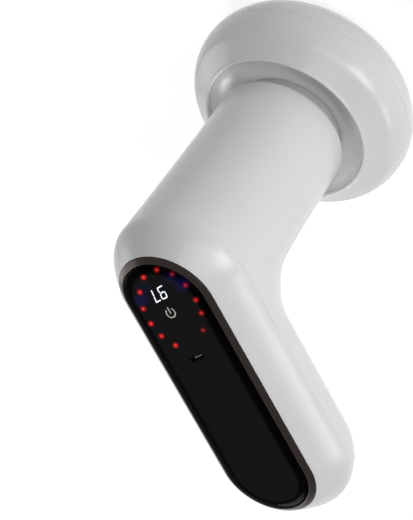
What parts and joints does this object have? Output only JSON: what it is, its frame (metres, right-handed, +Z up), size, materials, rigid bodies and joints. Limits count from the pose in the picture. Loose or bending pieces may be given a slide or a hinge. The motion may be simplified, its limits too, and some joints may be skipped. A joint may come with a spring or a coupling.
{
  "type": "anti-cellulite massager",
  "caption": "Handheld cordless body massager: a neck and handle in white shells with a black control window, and a motor-driven turning head with soft massage nodes inside a round shroud",
  "frame": {"origin": "on the neck's axis, level with the flat tip of the centre cap, where the massage head touches the skin or the table", "axes": "+Z runs up the neck's axis from the massage head to the window; the handle leaves the neck's top towards -Y; X runs across the handle"},
  "size_m": [0.1034, 0.1837, 0.1612],
  "materials": {
    "rear_shell": "satin white",
    "front_shell": "satin white",
    "bezel_ring": "glossy dark bronze",
    "lens": "high gloss black",
    "lens_gasket": "matte",
    "main_board": "green solder mask",
    "led": "clear red",
    "digit_display": "dark grey",
    "touch_pad": "copper",
    "usb_port": "plated",
    "battery_cell": "blue sleeve",
    "battery_tray": "dark grey",
    "charge_board": "green solder mask",
    "motor_can": "zinc plated",
    "motor_end_cap": "dark grey",
    "motor_shaft": "ground steel",
    "sun_gear": "machined",
    "planet_gear": "natural nylon",
    "gear_case": "dark grey",
    "gearbox_cover": "dark grey",
    "carrier": "turned steel",
    "spindle_bush": "sintered bronze",
    "neck_collar": "light grey",
    "head_rear_cover": "satin white",
    "head_front_ring": "satin white",
    "drive_hub": "die cast",
    "massage_plate": "satin light grey",
    "massage_node": "soft matte",
    "centre_cap": "soft matte",
    "screw": "zinc plated",
    "red_lead": "red sleeve",
    "black_lead": "black sleeve"
  },
  "bodies": {
    "housing": {"rear_shell": "rear_shell", "front_shell": "front_shell", "bezel_ring": "bezel_ring", "lens": "lens", "lens_gasket": "lens_gasket", "main_board": "main_board", "led_01": "led", "led_02": "led", "led_03": "led", "led_04": "led", "led_05": "led", "led_06": "led", "led_07": "led", "led_08": "led", "led_09": "led", "led_10": "led", "led_11": "led", "led_12": "led", "digit_display": "digit_display", "touch_pad": "touch_pad", "usb_port": "usb_port", "battery_cell_1": "battery_cell", "battery_cell_2": "battery_cell", "battery_tray": "battery_tray", "charge_board": "charge_board", "motor_can": "motor_can", "motor_end_cap": "motor_end_cap", "gear_case": "gear_case", "gearbox_cover": "gearbox_cover", "spindle_bush": "spindle_bush", "neck_collar": "neck_collar", "head_rear_cover": "head_rear_cover", "head_front_ring": "head_front_ring", "head_screw_1": "screw", "head_screw_2": "screw", "head_screw_3": "screw", "shell_screw_upper": "screw", "shell_screw_lower": "screw", "motor_lead_red": "red_lead", "battery_lead_red": "red_lead", "motor_lead_black": "black_lead", "battery_lead_black": "black_lead"},
    "massage_head": {"carrier": "carrier", "drive_hub": "drive_hub", "massage_plate": "massage_plate", "massage_node_1": "massage_node", "massage_node_2": "massage_node", "massage_node_3": "massage_node", "massage_node_4": "massage_node", "massage_node_5": "massage_node", "massage_node_6": "massage_node", "centre_cap": "centre_cap", "plate_screw": "screw"},
    "motor_rotor": {"motor_shaft": "motor_shaft", "sun_gear": "sun_gear"},
    "planet_1": {"planet_gear_1": "planet_gear"},
    "planet_2": {"planet_gear_2": "planet_gear"},
    "planet_3": {"planet_gear_3": "planet_gear"}
  },
  "joints": [
    {"name": "head_spin", "type": "hinge", "parent": "housing", "child": "massage_head", "pos_m": [0, 0, 0.01], "axis": [0, 0, 1], "continuous": true},
    {"name": "motor_spin", "type": "hinge", "parent": "housing", "child": "motor_rotor", "pos_m": [0, 0, 0.058], "axis": [0, 0, 1], "continuous": true},
    {"name": "planet_1_spin", "type": "hinge", "parent": "massage_head", "child": "planet_1", "pos_m": [0.01277, 0, 0.058], "axis": [0, 0, 1], "continuous": true},
    {"name": "planet_2_spin", "type": "hinge", "parent": "massage_head", "child": "planet_2", "pos_m": [-0.00639, 0.01106, 0.058], "axis": [0, 0, 1], "continuous": true},
    {"name": "planet_3_spin", "type": "hinge", "parent": "massage_head", "child": "planet_3", "pos_m": [-0.00639, -0.01106, 0.058], "axis": [0, 0, 1], "continuous": true}
  ],
  "couplings": [
    {"joint": "motor_spin", "follows": "head_spin", "ratio": 5},
    {"joint": "planet_1_spin", "follows": "head_spin", "ratio": -2.6667},
    {"joint": "planet_2_spin", "follows": "head_spin", "ratio": -2.6667},
    {"joint": "planet_3_spin", "follows": "head_spin", "ratio": -2.6667}
  ]
}
